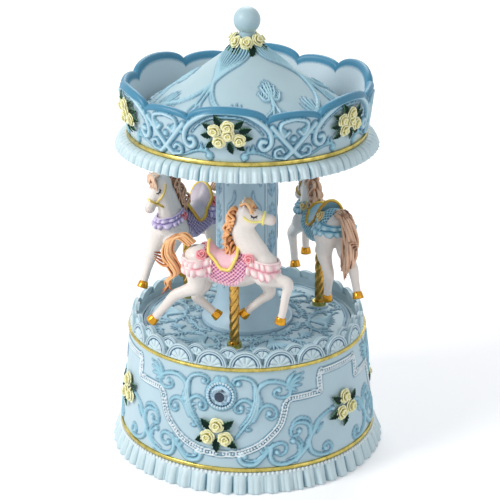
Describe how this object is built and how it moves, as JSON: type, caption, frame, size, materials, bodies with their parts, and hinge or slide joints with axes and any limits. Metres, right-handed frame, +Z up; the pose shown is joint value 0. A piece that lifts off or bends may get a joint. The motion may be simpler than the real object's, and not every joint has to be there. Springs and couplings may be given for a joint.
{
  "type": "carousel music box",
  "caption": "Wind-up music box: a round drum holds a spring movement that turns a deck with horses on poles and a scalloped, tented canopy.",
  "frame": {"origin": "middle of the resting face, on the turning axis", "axes": "+Z is up along the turning axis, -Y points at the middle of the front crystal, +X is to the right of a person who faces that crystal"},
  "size_m": [0.104, 0.104, 0.1693],
  "materials": {
    "blue_resin": "satin pale blue paint with a darker wash in the recesses",
    "ruffle_resin": "satin pale blue paint on cast pleats",
    "crown_resin": "satin blue paint with a deeper blue rim",
    "gilt": "bright gilt band",
    "horse_resin": "ivory paint with painted tack, mane and hooves",
    "rose_resin": "cream paint with peach centres",
    "leaf_resin": "dark green paint with light veins",
    "crystal": "faceted and polished",
    "setting_resin": "pale blue beads",
    "pole_brass": "twisted brass, polished",
    "movement_brass": "turned and cut brass",
    "movement_steel": "ground steel",
    "movement_zinc": "cast bedplate with a gold lacquer",
    "key_gilt": "plated key",
    "plate_board": "dark moulded plate",
    "fly_plastic": "thin moulded blades"
  },
  "bodies": {
    "root": {"base_drum": "blue_resin", "base_ruffle": "ruffle_resin", "low_gilt_band": "gilt", "top_gilt_band": "gilt", "parapet": "blue_resin", "crystals": "crystal", "crystal_settings": "setting_resin", "drum_roses": "rose_resin", "drum_leaves": "leaf_resin", "bottom_plate": "plate_board", "bottom_plate_screws": "movement_steel", "bedplate": "movement_zinc", "bedplate_screws": "movement_steel", "comb": "movement_steel", "comb_screws": "movement_steel", "governor_bracket": "movement_brass", "governor_screws": "movement_steel", "top_bushing": "movement_brass"},
    "key": {"winding_key": "key_gilt", "winding_arbor": "movement_steel"},
    "carousel": {"spring_barrel": "movement_brass", "barrel_cap": "movement_brass", "mainspring": "movement_steel", "drive_shaft": "movement_steel", "turntable_hub": "movement_steel", "hub_screws": "movement_steel", "turntable": "blue_resin", "column": "blue_resin", "pink_horse": "horse_resin", "blue_horse": "horse_resin", "lilac_horse": "horse_resin", "pink_horse_pole": "pole_brass", "blue_horse_pole": "pole_brass", "lilac_horse_pole": "pole_brass", "pole_ferrules": "gilt", "canopy_ceiling": "blue_resin", "canopy_skirt": "ruffle_resin", "crown_gilt_band": "gilt", "crown": "crown_resin", "tent_roof": "blue_resin", "finial_ball": "crown_resin", "crown_roses": "rose_resin", "crown_leaves": "leaf_resin", "finial_roses": "rose_resin", "finial_leaves": "leaf_resin"},
    "cylinder": {"pin_cylinder": "movement_brass", "cylinder_arbor": "movement_steel", "cylinder_pinion": "movement_brass", "cylinder_gear": "movement_brass"},
    "governor": {"governor_wheel": "movement_brass", "governor_pinion": "movement_steel", "governor_arbor": "movement_steel"},
    "fly": {"governor_worm": "movement_steel", "fly": "fly_plastic"}
  },
  "joints": [
    {"name": "carousel_spin", "type": "hinge", "parent": "root", "child": "carousel", "pos_m": [0, 0, 0.0458], "axis": [0, 0, 1], "continuous": true},
    {"name": "cylinder_spin", "type": "hinge", "parent": "root", "child": "cylinder", "pos_m": [0.021, 0, 0.0338], "axis": [1, 0, 0], "continuous": true},
    {"name": "governor_spin", "type": "hinge", "parent": "root", "child": "governor", "pos_m": [0.031, 0.0096, 0.0338], "axis": [1, 0, 0], "continuous": true},
    {"name": "fly_spin", "type": "hinge", "parent": "root", "child": "fly", "pos_m": [0.0333, 0.016, 0.0338], "axis": [0, 0, 1], "continuous": true},
    {"name": "key_wind", "type": "hinge", "parent": "root", "child": "key", "pos_m": [0, 0, 0.006], "axis": [0, 0, 1], "range_deg": [0, 1440]}
  ],
  "couplings": [
    {"joint": "cylinder_spin", "follows": "carousel_spin", "ratio": 3},
    {"joint": "governor_spin", "follows": "carousel_spin", "ratio": -9},
    {"joint": "fly_spin", "follows": "carousel_spin", "ratio": 90}
  ]
}
